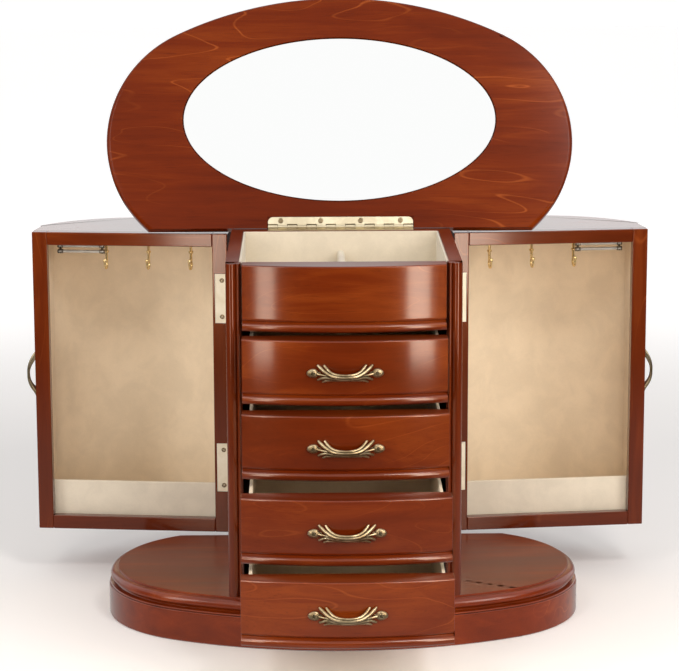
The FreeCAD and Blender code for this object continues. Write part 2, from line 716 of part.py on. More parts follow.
def longLeaf(label, moving):
    """One leaf of the long hinge: a thin plate and every second knuckle."""
    if moving:
        low, high, near = "lidBottom", "lidBottom + leafThick", "lidPinY - lidLeafLong"
        edge = "lidPinY - knuckle - 2 * knuckleClear"
    else:
        low, high, near = "columnTop - leafThick", "columnTop", "backDepth - lidLeafLong"
        edge = "backDepth"
    solids = [block(label + "Plate", ("-lidLeafHalf", near, low), ("lidLeafHalf", edge, high))]
    share = "lidLeafHalf * 2 / %d" % lidKnuckles
    for number in range(1 if moving else 0, lidKnuckles, 2):
        start = "-lidLeafHalf + %s * %d + knuckleClear" % (share, number)
        length = share + " - 2 * knuckleClear"
        end = "%s + %s" % (start, length)
        if moving:
            corner, far = (start, edge, low), (end, "lidPinY", high)
        else:
            corner, far = (start, "backDepth - tabLap", low), (end, "lidPinY", "lidPinZ")
        solids.append(block(label + "Tab", corner, far))
        solids.append(rod(label + "Knuckle", "knuckle", length, (start, "lidPinY", "lidPinZ"),
                          alongX))
    bore = rod(label + "Bore", "pinRadius + pinFit", "lidLeafHalf * 2 + 2",
               ("-lidLeafHalf - 1", "lidPinY", "lidPinZ"), alongX)
    return cut(label, fuse(label + "Whole", solids), bore)


def makeLidHinge():
    keep(longLeaf("lidFixedLeaf", False), "lid_hinge_fixed_leaf")
    keep(rod("lidPin", "pinRadius", "lidLeafHalf * 2",
             ("-lidLeafHalf", "lidPinY", "lidPinZ"), alongX), "lid_hinge_pin")
    keep(longLeaf("lidMovingLeaf", True), "lid_hinge_leaf", lidPose)
    screws = []
    for step in (-1.5, -0.5, 0.5, 1.5):
        screws.append(rod("lidScrew", "screwHead", "lidScrewProud",
                          ("lidScrewStep * %g" % step, "lidPinY - lidLeafLong + lidScrewIn",
                           "lidBottom"), -up))
    keep(group("lidScrews", screws), "lid_hinge_screws", lidPose)


# ---------------------------------------------------------------- assembly

makeBase()
makeColumn()
makeTray()
makeShelves()
for number in (1, 2, 3, 4):
    makeDrawer(number)
makeDoor(-1, "left")
makeDoor(1, "right")
makeButtHinges()
makeLid()
makeLidHinge()

doc.recompute()
for thing in doc.Objects:
    if "Invalid" in thing.State or "Error" in thing.State:
        raise RuntimeError("%s (%s) did not compute: %s" % (thing.Name, thing.Label, thing.State))
for piece in pieces:
    if piece.Shape.isNull() or not piece.Shape.isValid():
        raise RuntimeError("bad shape: " + piece.Label)

os.makedirs("parts", exist_ok=True)
for piece in pieces:
    piece.Shape.exportStep("parts/" + piece.Label + ".step")
    box = piece.Shape.BoundBox
    print("%-28s solids %d volume %9.0f  x %.1f..%.1f y %.1f..%.1f z %.1f..%.1f" % (
        piece.Label, len(piece.Shape.Solids), piece.Shape.Volume,
        box.XMin, box.XMax, box.YMin, box.YMax, box.ZMin, box.ZMax))
print(len(pieces), "pieces")
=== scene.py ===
import json
import math

import bmesh
import bpy
from mathutils import Matrix, Vector


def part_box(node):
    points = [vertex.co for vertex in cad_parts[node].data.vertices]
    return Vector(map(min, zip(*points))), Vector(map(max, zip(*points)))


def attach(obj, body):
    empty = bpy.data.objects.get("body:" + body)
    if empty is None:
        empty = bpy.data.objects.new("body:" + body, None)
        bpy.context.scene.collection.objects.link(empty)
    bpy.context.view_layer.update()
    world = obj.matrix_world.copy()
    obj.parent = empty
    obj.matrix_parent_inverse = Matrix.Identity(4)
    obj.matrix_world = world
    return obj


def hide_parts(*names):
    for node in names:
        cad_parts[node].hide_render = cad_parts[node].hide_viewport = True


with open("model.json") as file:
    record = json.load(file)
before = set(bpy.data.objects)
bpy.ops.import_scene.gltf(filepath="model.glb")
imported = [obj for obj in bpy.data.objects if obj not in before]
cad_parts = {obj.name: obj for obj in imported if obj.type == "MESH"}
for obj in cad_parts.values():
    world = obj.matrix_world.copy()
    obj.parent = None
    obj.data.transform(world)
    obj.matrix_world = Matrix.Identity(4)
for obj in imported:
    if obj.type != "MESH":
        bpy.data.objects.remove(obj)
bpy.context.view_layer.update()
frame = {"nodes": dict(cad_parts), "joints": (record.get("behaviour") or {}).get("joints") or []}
mm = 0.001
joints = {joint["name"]: joint for joint in frame["joints"]}
nodes = frame["nodes"]
print("frame loaded:", len(nodes), "nodes")


# tools for modelling

def deselect():
    if bpy.context.object is not None and bpy.context.object.mode != "OBJECT":
        bpy.ops.object.mode_set(mode="OBJECT")
    bpy.ops.object.select_all(action="DESELECT")


def pick(piece):
    deselect()
    piece.select_set(True)
    bpy.context.view_layer.objects.active = piece


def named(name):
    piece = bpy.context.object
    piece.name = name
    piece.data.name = name
    return piece


def edit(piece, kind="EDGE"):
    pick(piece)
    bpy.ops.object.mode_set(mode="EDIT")
    bpy.ops.mesh.select_mode(type=kind)
    bpy.ops.mesh.select_all(action="DESELECT")
    return bmesh.from_edit_mesh(piece.data)


def done():
    bpy.ops.object.mode_set(mode="OBJECT")


def choose(piece, things, wanted):
    for thing in things:
        thing.select_set(bool(wanted(thing)))
    bmesh.update_edit_mesh(piece.data)


def middle(edge):
    return (edge.verts[0].co + edge.verts[1].co) / 2


def sharp(edge, least=40):
    return len(edge.link_faces) == 2 and edge.calc_face_angle(0) > math.radians(least)


def soften(piece, width, steps=3, wanted=sharp, shape=0.5):
    # bevels the wanted edges; width in millimetres
    bm = edit(piece)
    choose(piece, bm.edges, wanted)
    bpy.ops.mesh.bevel(offset=width * mm, segments=steps, profile=shape, affect="EDGES",
                       clamp_overlap=True)
    done()
    return piece


def settle(piece, angle=32):
    # merges doubles, turns faces outwards and smooths all but real corners
    edit(piece, "VERT")
    bpy.ops.mesh.select_all(action="SELECT")
    bpy.ops.mesh.remove_doubles(threshold=0.002 * mm)
    bpy.ops.mesh.normals_make_consistent(inside=False)
    done()
    bpy.ops.object.shade_smooth_by_angle(angle=math.radians(angle))
    return piece


def loft(name, rings):
    # a closed solid through rings of equal count, each a list of (x, y, z) in millimetres
    deselect()
    bpy.ops.mesh.primitive_circle_add(vertices=len(rings[0]), radius=1, fill_type="NGON")
    piece = named(name)
    for vertex, place in zip(piece.data.vertices, rings[0]):
        vertex.co = Vector(place) * mm
    edit(piece, "FACE")
    bpy.ops.mesh.select_all(action="SELECT")
    for ring in rings[1:]:
        bpy.ops.mesh.extrude_region_move(TRANSFORM_OT_translate={"value": (0, 0, mm)})
        bm = bmesh.from_edit_mesh(piece.data)
        top = [face for face in bm.faces if face.select][0]
        for vertex, place in zip(ordered(top, bm), ring):
            vertex.co = Vector(place) * mm
        bmesh.update_edit_mesh(piece.data)
    done()
    return settle(piece)


def ordered(face, bm):
    # the face's corners in the order of the ring below it
    bm.verts.ensure_lookup_table()
    return sorted(face.verts, key=lambda vertex: vertex.index)


def fanEnds(piece):
    # splits each broad flat end into a fan of triangles round its middle
    bm = edit(piece, "FACE")
    choose(piece, bm.faces, lambda face: len(face.verts) > 8)
    bpy.ops.mesh.poke()
    done()
    return settle(piece)


def slab(name, outline, low, high):
    return loft(name, [[(x, y, low) for x, y in outline], [(x, y, high) for x, y in outline]])


def board(name, low, high, ease=0.5, steps=2):
    # a plank between two corners in millimetres, with eased edges
    low, high = Vector(low) * mm, Vector(high) * mm
    deselect()
    bpy.ops.mesh.primitive_cube_add(size=1, location=(low + high) / 2)
    piece = named(name)
    piece.scale = high - low
    bpy.ops.object.transform_apply(location=True, rotation=True, scale=True)
    if ease:
        soften(piece, ease, steps, lambda edge: True)
    return settle(piece)


def cutAway(piece, tool):
    # takes the tool's shape out of the piece
    pick(piece)
    modifier = piece.modifiers.new("cut", "BOOLEAN")
    modifier.operation = "DIFFERENCE"
    modifier.solver = "MANIFOLD"
    modifier.object = tool
    bpy.ops.object.modifier_apply(modifier=modifier.name)
    bpy.data.objects.remove(tool)
    return settle(piece)


def strand(name, points, radii, sides=4):
    # a round bar through points in millimetres that swells and thins with radii
    deselect()
    bpy.ops.curve.primitive_bezier_curve_add(radius=mm)
    piece = named(name)
    curve = piece.data
    curve.dimensions = "3D"
    curve.bevel_depth = mm
    curve.bevel_resolution = sides
    curve.resolution_u = 6
    curve.use_fill_caps = True
    spline = curve.splines[0]
    spline.bezier_points.add(len(points) - 2)
    for knot, place, radius in zip(spline.bezier_points, points, radii):
        knot.co = Vector(place) * mm
        knot.radius = radius
        knot.handle_left_type = knot.handle_right_type = "AUTO"
    pick(piece)
    bpy.ops.object.convert(target="MESH")
    bpy.ops.object.transform_apply(location=True, rotation=True, scale=True)
    return bpy.context.object


def ball(name, centre, size, rings=12):
    # an ellipsoid; size holds its three half lengths
    deselect()
    bpy.ops.mesh.primitive_uv_sphere_add(segments=rings * 2, ring_count=rings, radius=1)
    piece = named(name)
    piece.scale = Vector(size) * mm
    piece.location = Vector(centre) * mm
    bpy.ops.object.transform_apply(location=True, rotation=True, scale=True)
    return piece


def drum(name, centre, radius, height, axis="Z", ease=0.0, sides=32):
    # a round disc or pin with a rounded rim, centred on a point
    deselect()
    bpy.ops.mesh.primitive_cylinder_add(vertices=sides, radius=radius * mm, depth=height * mm)
    piece = named(name)
    if ease:
        soften(piece, ease, 3)
    turn = {"Z": Matrix(), "X": Matrix.Rotation(math.pi / 2, 4, "Y"),
            "Y": Matrix.Rotation(math.pi / 2, 4, "X")}[axis]
    place(piece, Matrix.Translation(Vector(centre) * mm) @ turn)
    return settle(piece)


def merge(name, parts):
    deselect()
    for part in parts:
        part.select_set(True)
    bpy.context.view_layer.objects.active = parts[0]
    bpy.ops.object.join()
    return named(name)


def copyOf(piece, name):
    twin = piece.copy()
    twin.data = piece.data.copy()
    twin.name = name
    twin.data.name = name
    bpy.context.scene.collection.objects.link(twin)
    return twin


def place(piece, matrix):
    # moves the mesh itself, so the object stays at the origin
    piece.data.transform(matrix)
    if matrix.to_3x3().determinant() < 0:
        piece.data.flip_normals()
    return piece


def mirrored(piece, name):
    return place(copyOf(piece, name), Matrix.Scale(-1, 4, (1, 0, 0)))


def wear(piece, material):
    piece.data.materials.clear()
    piece.data.materials.append(material)
    return piece


def flatten(piece):
    # keeps broad faces flat beside their rounded edges
    pick(piece)
    weights = piece.modifiers.new("flat", "WEIGHTED_NORMAL")
    weights.weight = 100
    weights.keep_sharp = True
    bpy.ops.object.modifier_apply(modifier=weights.name)


def stand(piece, body, material, slot, *replaced):
    flatten(piece)
    wear(piece, material)
    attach(piece, body)
    if replaced:
        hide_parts(*replaced)
    return piece


def span(node):
    # a CAD node's low and high corners in millimetres
    low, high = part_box(node)
    return Vector(low) / mm, Vector(high) / mm


# where the hinged bodies stand at rest, as turns from closed to open

def swing(name, angle):
    joint = joints[name]
    pin = Matrix.Translation(Vector(joint["pos_m"]))
    turn = Matrix.Rotation(math.radians(-angle), 4, Vector(joint["axis"]))
    return pin @ turn @ pin.inverted()


lidOpen = swing("lid_hinge", joints["lid_hinge"]["range_deg"][1])
doorOpen = {1: swing("right_door_hinge", joints["right_door_hinge"]["range_deg"][0]),
            -1: swing("left_door_hinge", joints["left_door_hinge"]["range_deg"][1])}


# materials

class Wire:
    # one output of a shader node, with arithmetic
    def __init__(self, shop, socket):
        self.shop = shop
        self.socket = socket

    def maths(self, operation, first, second):
        return self.shop.node("ShaderNodeMath", {"operation": operation}, {0: first, 1: second})

    def __add__(self, other):
        return self.maths("ADD", self, other)

    def __radd__(self, other):
        return self.maths("ADD", other, self)

    def __sub__(self, other):
        return self.maths("SUBTRACT", self, other)

    def __rsub__(self, other):
        return self.maths("SUBTRACT", other, self)

    def __mul__(self, other):
        return self.maths("MULTIPLY", self, other)

    def __rmul__(self, other):
        return self.maths("MULTIPLY", other, self)


class Shop:
    # a material being made
    def __init__(self, name):
        self.material = bpy.data.materials.new(name)
        self.material.use_nodes = True
        self.tree = self.material.node_tree
        self.surface = self.tree.nodes["Principled BSDF"]

    def node(self, kind, settings=None, inputs=None, output=0):
        made = self.tree.nodes.new(kind)
        for key, setting in (settings or {}).items():
            if key == "stops":
                ramp = made.color_ramp
                while len(ramp.elements) < len(setting):
                    ramp.elements.new(0.5)
                for element, (spot, colour) in zip(ramp.elements, setting):
                    element.position = spot
                    element.color = (*colour, 1)
            else:
                setattr(made, key, setting)
        for key, value in (inputs or {}).items():
            self.feed(made.inputs[key], value)
        return Wire(self, made.outputs[output])

    def feed(self, socket, value):
        if isinstance(value, Wire):
            self.tree.links.new(value.socket, socket)
        elif isinstance(value, tuple) and socket.type == "RGBA":
            socket.default_value = (*value, 1)
        else:
            socket.default_value = value

    def finish(self, **inputs):
        for key, value in inputs.items():
            self.feed(self.surface.inputs[key.replace("_", " ")], value)
        return self.material

    def spot(self, turn=(0, 0, 0), centre=(0, 0, 0)):
        # a place on the object, turned so that X runs along the pattern
        start = self.node("ShaderNodeTexCoord", output=3)
        return self.node("ShaderNodeMapping", {"vector_type": "TEXTURE"},
                         {"Vector": start, "Location": Vector(centre) * mm,
                          "Rotation": tuple(math.radians(angle) for angle in turn)})

    def noise(self, where, scale, detail=3.0, rough=0.5, bend=0.0):
        return self.node("ShaderNodeTexNoise", None,
                         {"Vector": where, "Scale": scale, "Detail": detail, "Roughness": rough,
                          "Distortion": bend})

    def stretched(self, where, along, across):
        # squeezes the place so that noise draws out along the grain
        return self.node("ShaderNodeVectorMath", {"operation": "MULTIPLY"},
                         {0: where, 1: (along, across, across)})

    def blend(self, share, first, second, kind="MIX"):
        return self.node("ShaderNodeMix", {"data_type": "RGBA", "blend_type": kind},
                         {0: share, 6: first, 7: second}, output=2)

    def step(self, value, low, high):
        return self.node("ShaderNodeMapRange", {"interpolation_type": "SMOOTHSTEP"},
                         {"Value": value, "From Min": low, "From Max": high})


cherryTones = {
    "dark": (0.052, 0.0045, 0.0003),
    "middle": (0.105, 0.0120, 0.0008),
    "light": (0.205, 0.0380, 0.0040),
    "line": (0.030, 0.0035, 0.0010),
    "glint": (0.36, 0.085, 0.015),
}


def cherry(name, turn=(0, 0, 0), seed=0.0, figure=1.0, gain=1.0, glare=1.45, sheen=0.3, blur=0.12,
           mattAbove=None):
    # lacquered cherry; the grain runs along X of the turned place, and the coat is thinner
    # above a level in millimetres
    shop = Shop(name)
    where = shop.spot(turn)
    where = shop.node("ShaderNodeVectorMath", {"operation": "ADD"},
                      {0: where, 1: (seed, seed * 1.7, seed * 0.6)})
    clouds = shop.noise(shop.stretched(where, 4.0, 16.0), 1.0, 3, 0.55, 0.6)
    ribbons = shop.noise(shop.stretched(where, 7.0, 95.0), 1.0, 4, 0.6, 1.2)
    pores = shop.noise(shop.stretched(where, 60.0, 1500.0), 1.0, 2, 0.5)
    base = shop.node("ShaderNodeValToRGB",
                     {"stops": [(0.25, cherryTones["dark"]), (0.5, cherryTones["middle"]),
                                (0.78, cherryTones["light"])]},
                     {"Fac": clouds * 0.62 + ribbons * 0.38})
    rings = shop.noise(shop.stretched(where, 5.0, 26.0), 1.0, 1.5, 0.4, 0.3)
    bands = shop.node("ShaderNodeMath", {"operation": "PINGPONG"}, {0: rings * 9.0, 1: 0.5})
    vein = shop.step(bands, 0.46, 0.5) * shop.step(clouds, 0.4, 0.62) * 0.30 * figure
    colour = shop.blend(vein, base, cherryTones["glint"])
    fine = shop.step(pores, 0.58, 0.72) * 0.28
    colour = shop.blend(fine, colour, cherryTones["line"])
    if gain != 1.0:
        colour = shop.blend(1.0, colour, (gain, gain, gain), "MULTIPLY")
    height = pores * 0.35 + ribbons * 0.65
    relief = shop.node("ShaderNodeBump", None,
                       {"Height": height, "Strength": 0.05, "Distance": 0.2 * mm})
    coat = 1.0
    if mattAbove is not None:
        level = shop.node("ShaderNodeSeparateXYZ", None, {"Vector": shop.spot()}, output=2)
        coat = 1 - shop.step(level, (mattAbove - 0.6) * mm, mattAbove * mm) * 0.75
    return shop.finish(Base_Color=colour, Roughness=0.28 + ribbons * 0.1, Normal=relief,
                       Coat_Weight=coat, Coat_Roughness=blur, Coat_IOR=glare,
                       Specular_IOR_Level=sheen, Specular_Tint=(1.0, 0.36, 0.10))


def suede(name, tone=(0.76, 0.625, 0.45), seed=0.0):
    shop = Shop(name)
    where = shop.spot()
    where = shop.node("ShaderNodeVectorMath", {"operation": "ADD"}, {0: where, 1: (seed, 0, 0)})
    patches = shop.noise(where, 38.0, 4, 0.6, 0.4)
    nap = shop.noise(where, 900.0, 3, 0.7)
    pile = shop.noise(where, 3200.0, 2, 0.6)
    darker = tuple(channel * 0.86 for channel in tone)
    lighter = tuple(min(channel * 1.07, 1.0) for channel in tone)
    colour = shop.blend(shop.step(patches, 0.3, 0.7) * 0.5 + nap * 0.5, darker, lighter)
    relief = shop.node("ShaderNodeBump", None,
                       {"Height": nap * 0.6 + pile * 0.4, "Strength": 0.25, "Distance": 0.3 * mm})
    return shop.finish(Base_Color=colour, Roughness=0.92, Normal=relief, Sheen_Weight=0.25,
                       Sheen_Roughness=0.4, Specular_IOR_Level=0.2)


# near black for recesses: patina together with painted shade
hollowShadeAndPatina = (0.02, 0.014, 0.008)


def metal(name, bright, dull, rough, wearScale=60.0, hollow=None, share=1.0):
    # a plated or cast metal; hollow gives the pointiness below which recesses darken to near black:
    # the antique finish's patina together with painted shade in the creases between strands
    shop = Shop(name)
    where = shop.spot()
    stains = shop.noise(where, wearScale, 4, 0.6, 0.5)
    grain = shop.noise(where, 1400.0, 2, 0.5)
    colour = shop.blend(shop.step(stains, 0.35, 0.68), bright, dull)
    roughness = rough + stains * 0.12
    if hollow is not None:
        point = shop.node("ShaderNodeNewGeometry", output=7)
        recess = 1 - shop.step(point, hollow[0], hollow[1])
        # painted shade: hollows and creases between strands darken towards near black, along with
        # the finish's patina
        colour = shop.blend(recess * 0.92, colour, hollowShadeAndPatina)
        roughness = roughness + recess * 0.3
    relief = shop.node("ShaderNodeBump", None,
                       {"Height": grain, "Strength": 0.08, "Distance": 0.1 * mm})
    return shop.finish(Base_Color=colour, Metallic=share, Roughness=roughness, Normal=relief)


def mirrorGlass():
    shop = Shop("mirrorGlass")
    film = shop.noise(shop.spot(), 14.0, 2)
    return shop.finish(Base_Color=(0.97, 0.975, 0.97), Metallic=1.0, Roughness=film * 0.02)


doorTurn = {side: math.degrees(doorOpen[side].to_euler().z) for side in (-1, 1)}
lidTurn = math.degrees(lidOpen.to_euler().x)
upright = (0, 90, 0)
wood = {
    "plain": cherry("cherryPlain"),
    "base": cherry("cherryBase", seed=3.1, figure=0.2, gain=1.5, sheen=0.15, blur=0.2,
                   mattAbove=37.9),
    "plinth": cherry("cherryPlinth", seed=5.3, gain=1.6),
    "post": cherry("cherryPost", upright, seed=1.3, figure=0.3),
    "side": cherry("cherrySide", upright, seed=8.9),
    "lid": cherry("cherryLid", (lidTurn, 0, 0), seed=6.1, figure=1.5, glare=1.2, gain=1.15,
                  sheen=0.05),
    "front": cherry("cherryFront", seed=2.2, figure=0.7, mattAbove=298.7),
    # dim: a darker copy of the cherry, painted shade on the boards inside the case
    "dim": cherry("cherryShadedInside", seed=4.4, gain=0.55),
}
for side in (-1, 1):
    across = (0, 0, 90 + doorTurn[side])
    wood["rail", side] = cherry("cherryRail%d" % (side + 2), across, seed=7.0 + side)
    wood["stile", side] = cherry("cherryStile%d" % (side + 2), upright, seed=9.0 + side)
    # the top boards wear a copy lightened 1.4 times: painted light on the tops
    wood["board", side] = cherry("cherryLightenedTop%d" % (side + 2), across, seed=12.0 + side,
                                 glare=2.0, gain=1.4)
cream = suede("creamSuede")
creamSeat = suede("creamTray", (0.72, 0.645, 0.52), 2.0)
antique = metal("antiqueBrass", (0.72, 0.58, 0.36), (0.38, 0.28, 0.15), 0.2, 120.0,
                hollow=(0.47, 0.545))
gold = metal("goldBrass", (0.90, 0.70, 0.36), (0.70, 0.50, 0.20), 0.2, share=0.8)
pale = metal("paleBrass", (0.74, 0.65, 0.46), (0.56, 0.48, 0.33), 0.26)
leaf = metal("leafBrass", (0.93, 0.86, 0.70), (0.84, 0.76, 0.58), 0.4, share=0.35)
bronze = metal("bronzeScrew", (0.30, 0.23, 0.14), (0.20, 0.15, 0.09), 0.3)
chrome = metal("polishedRod", (0.74, 0.72, 0.66), (0.56, 0.54, 0.48), 0.16, share=0.7)
steel = metal("darkBracket", (0.12, 0.09, 0.06), (0.06, 0.045, 0.03), 0.3)
mirror = mirrorGlass()
print("materials made")


# plan outlines in millimetres

plan = {"endRadius": 100, "endCentre": 90, "faceRadius": 300, "steps": 44}
faceCentre = math.sqrt((plan["faceRadius"] - plan["endRadius"]) ** 2 - plan["endCentre"] ** 2)


def arc(centre, radius, start, stop, steps):
    # points on an arc, angles in radians, both ends included
    return [(centre[0] + radius * math.cos(start + (stop - start) * step / steps),
             centre[1] + radius * math.sin(start + (stop - start) * step / steps))
            for step in range(steps + 1)]


def oval(offset, back=80, shift=0):
    # the plan outline: right end, straight back, left end, bowed front; shift moves its ends
    end = plan["endRadius"] + offset
    centre = plan["endCentre"]
    turn = math.atan2(faceCentre, centre)
    stop = math.asin((back - shift) / end)
    steps = plan["steps"]
    right = arc((centre, 0), end, -turn, stop, steps)
    left = [(-x, y) for x, y in reversed(right)]
    front = arc((0, faceCentre), plan["faceRadius"] + offset, turn - math.pi, -turn, steps)
    return [(x, y + shift) for x, y in right + left + front[1:-1]]


def doorPlan(chord, inset):
    # the closed right door's outline: round wall, then back end, chord and front end
    radius = door["wallRadius"] - inset
    back = door["back"] - inset
    front = door["front"] - inset
    curve = arc((plan["endCentre"], 0), radius, -math.asin(front / radius),
                math.asin(back / radius), door["wallSteps"])
    return curve + [(chord, back), (chord, -front)]


# camera, lights and floor

view = {"place": (-29.0, -1970.7, 602.0), "target": (-2.3, 0, 224.5), "roll": 0.18, "lens": 132.9}
lamps = {
    # name: place, target, width, height, power, colour
    "keyLeft": ((-1500, -900, 900), (0, 0, 180), 350, 1100, 7, (1.0, 0.97, 0.93)),
    "keyRight": ((1450, -1150, 1100), (0, 0, 180), 500, 1000, 10, (1.0, 0.97, 0.93)),
    "stripLeft": ((-310, -660, 370), (-60, -105, 370), 75, 520, 1.15, (1.0, 0.84, 0.68)),
    "stripRight": ((310, -660, 370), (60, -105, 370), 95, 520, 2.0, (1.0, 0.84, 0.68)),
    "sheen": ((640, -1254, 1848), (150, 130, 420), 420, 420, 9, (1.0, 0.97, 0.94)),
    "sheenLeft": ((-760, -1254, 1780), (-150, 130, 420), 420, 420, 5, (1.0, 0.95, 0.90)),
}
studio = {
    "seen": 1.02, "fill": 0.60,  # the backdrop to the eye, and as light
    "skyGloss": 1.0, "frontGloss": 0.04, "skyFrom": 0.38, "skyTo": 0.58,  # the backdrop in gloss
    # painted reflection: glossy rays see the floor as a glow, brightest near the object
    "floorGloss": 0.03, "paintedFloorShine": 0.5, "shineNear": 0.45, "shineFar": 1.1,  # the floor in gloss
    # painted light: the floor glows more with distance from the object, leaving it darker near the
    # object as painted shadow
    "glow": 0.05, "haze": 0.36, "paintedGlowNear": 0.65, "paintedGlowFar": 1.5,  # the floor to the eye
}


def setCamera():
    data = bpy.data.cameras.new("camera")
    camera = bpy.data.objects.new("camera", data)
    bpy.context.scene.collection.objects.link(camera)
    place, target = Vector(view["place"]), Vector(view["target"])
    data.lens = view["lens"]
    data.sensor_width = 36
    data.clip_start = 0.05
    data.clip_end = 40
    camera.location = place * mm
    look = (target - place).to_track_quat("-Z", "Y")
    roll = Matrix.Rotation(math.radians(-view["roll"]), 4, "Z")
    camera.rotation_mode = "QUATERNION"
    camera.rotation_quaternion = (look.to_matrix().to_4x4() @ roll).to_quaternion()
    bpy.context.scene.camera = camera


def setLights():
    for name, (spot, target, width, height, power, colour) in lamps.items():
        data = bpy.data.lights.new(name, "AREA")
        data.shape = "RECTANGLE"
        data.size = width * mm
        data.size_y = height * mm
        data.energy = power
        data.color = colour
        lamp = bpy.data.objects.new(name, data)
        bpy.context.scene.collection.objects.link(lamp)
        lamp.location = Vector(spot) * mm
        aim = Vector(target) - Vector(spot)
        lamp.rotation_mode = "QUATERNION"
        lamp.rotation_quaternion = aim.to_track_quat("-Z", "Y")
    world = bpy.data.worlds.new("studio")
    bpy.context.scene.world = world
    world.use_nodes = True
    tree = world.node_tree
    # the backdrop is white to the eye; in gloss it is bright above and behind, and dim in front
    path = tree.nodes.new("ShaderNodeLightPath")
    ray = tree.nodes.new("ShaderNodeTexCoord")
    parts = tree.nodes.new("ShaderNodeSeparateXYZ")
    tree.links.new(ray.outputs["Generated"], parts.inputs["Vector"])

    def ramp(value, fromMin, fromMax, toMin, toMax):
        step = tree.nodes.new("ShaderNodeMapRange")
        for key, number in (("From Min", fromMin), ("From Max", fromMax)):
            step.inputs[key].default_value = number
        for key, end in (("To Min", toMin), ("To Max", toMax)):
            if isinstance(end, bpy.types.NodeSocket):
                tree.links.new(end, step.inputs[key])
            else:
                step.inputs[key].default_value = end
        tree.links.new(value, step.inputs["Value"])
        return step.outputs["Result"]

    high = ramp(parts.outputs["Z"], studio["skyFrom"], studio["skyTo"], studio["frontGloss"],
                studio["skyGloss"])
    behind = ramp(parts.outputs["Y"], 0.0, 0.5, high, studio["skyGloss"])
    lit = ramp(path.outputs["Is Glossy Ray"], 0, 1, studio["fill"], behind)
    level = ramp(path.outputs["Is Camera Ray"], 0, 1, lit, studio["seen"])
    backdrop = tree.nodes["Background"]
    backdrop.inputs["Color"].default_value = (1, 1, 1, 1)
    tree.links.new(level, backdrop.inputs["Strength"])
    bpy.context.scene.view_settings.view_transform = "Standard"


def setFloor():
    deselect()
    bpy.ops.mesh.primitive_plane_add(size=14)
    floor = named("floor")
    shop = Shop("paleFloor")
    haze = shop.noise(shop.spot(), 1.5, 2)
    colour = shop.blend(haze, (0.93, 0.905, 0.895), (0.95, 0.93, 0.92))
    # painted light: the floor glows more away from the object until it meets the backdrop, which
    # leaves it darker near the object as painted shadow;
    # in gloss the floor glows as painted light close to the object and dim further off
    away = shop.node("ShaderNodeVectorMath", {"operation": "LENGTH"},
                     {0: shop.spot(centre=(0, 100, 0))}, output=1)
    # painted light: emission that grows with distance from the object; near the object the floor
    # stays darker as painted shadow
    glow = shop.step(away, studio["paintedGlowNear"], studio["paintedGlowFar"]) * studio["haze"] + studio["glow"]
    paintedFloorGlow = shop.blend(glow, (0, 0, 0), (1, 1, 1))
    wear(floor, shop.finish(Base_Color=colour, Roughness=0.6, Specular_IOR_Level=0.1,
                            Emission_Color=paintedFloorGlow, Emission_Strength=1.0))
    # painted reflection: glossy rays see the floor as an emitter, bright near the object and dim
    # further off
    gloss = shop.node("ShaderNodeLightPath", output=3)
    far = shop.step(away, studio["shineNear"], studio["shineFar"])
    near = (1 - far) * studio["paintedFloorShine"] + studio["floorGloss"]
    dim = shop.node("ShaderNodeEmission", None, {"Color": (1.0, 0.93, 0.89), "Strength": near})
    mixed = shop.node("ShaderNodeMixShader", None, {0: gloss, 2: dim})
    shop.tree.links.new(shop.surface.outputs[0], mixed.socket.node.inputs[1])
    shop.tree.links.new(mixed.socket, shop.tree.nodes["Material Output"].inputs["Surface"])


setCamera()
setLights()
setFloor()
print("studio set")


# base

base = {
    # the moulding from the floor up, as (offset from the plan outline, level)
    "apron": [(-1.2, 0), (0, 0.8), (0, 23.2), (-0.25, 24.0), (-0.9, 24.5), (-2.0, 24.6)],
    "fillet": [(-1.6, 24.7), (-0.9, 25.1), (-0.8, 25.7), (-1.2, 26.2), (-2.4, 26.4), (-4.6, 27.0),
               (-5.6, 28.4), (-5.4, 29.5)],
    "step": [(-4.4, 29.5), (-2.4, 29.8), (-1.6, 30.6)],
    "round": (-6.6, -1.4, 31.2, 36.4),  # inner and outer offset, low and high level
    "rim": [(-7.2, 36.5), (-7.3, 37.5), (-7.7, 37.95), (-8.3, 38.0)],
}


def ovolo(inner, outer, low, high, steps=9):
    # a quarter round from a lower outer place to an upper inner one
    return [(inner + (outer - inner) * math.cos(math.pi / 2 * step / steps),
             low + (high - low) * math.sin(math.pi / 2 * step / steps))
            for step in range(steps + 1)]


def makeBase():
    plinth = base["apron"] + base["fillet"]
    top = base["step"] + ovolo(*base["round"]) + base["rim"]
    for profile, name, finish, node in ((plinth, "basePlinth", "plinth", "base_plinth"),
                                        (top, "baseTop", "base", "base_top")):
        rings = [[(x, y, z) for x, y in oval(offset)] for offset, z in profile]
        stand(fanEnds(loft(name, rings)), "case", wood[finish], "cherry_wood", node)


makeBase()
print("base made")


# column

column = {"half": 90, "postFront": 101, "rear": -89, "foot": 38, "top": 299,
          "reed": 4.1, "bead": 1.2, "beadFront": 99.8, "quirk": 95.5, "inner": 78.2}


def postPlan(side):
    # front view from the outside in: a broad reed, a small bead and a sunk quirk
    reed, bead = column["reed"], column["bead"]
    outer = column["half"]
    outline = [(outer, column["rear"])]
    outline += arc((outer - reed, reed - column["postFront"]), reed, 0, -math.pi * 0.9, 18)
    valley = outer - 2 * reed
    outline += arc((valley - bead, bead - column["beadFront"]), bead, -math.pi * 0.1, -math.pi, 9)
    lip = valley - 2 * bead
    outline += [(lip, -column["quirk"]), (column["inner"], -column["quirk"]),
                (column["inner"], column["rear"])]
    return [(side * x, y) for x, y in outline]


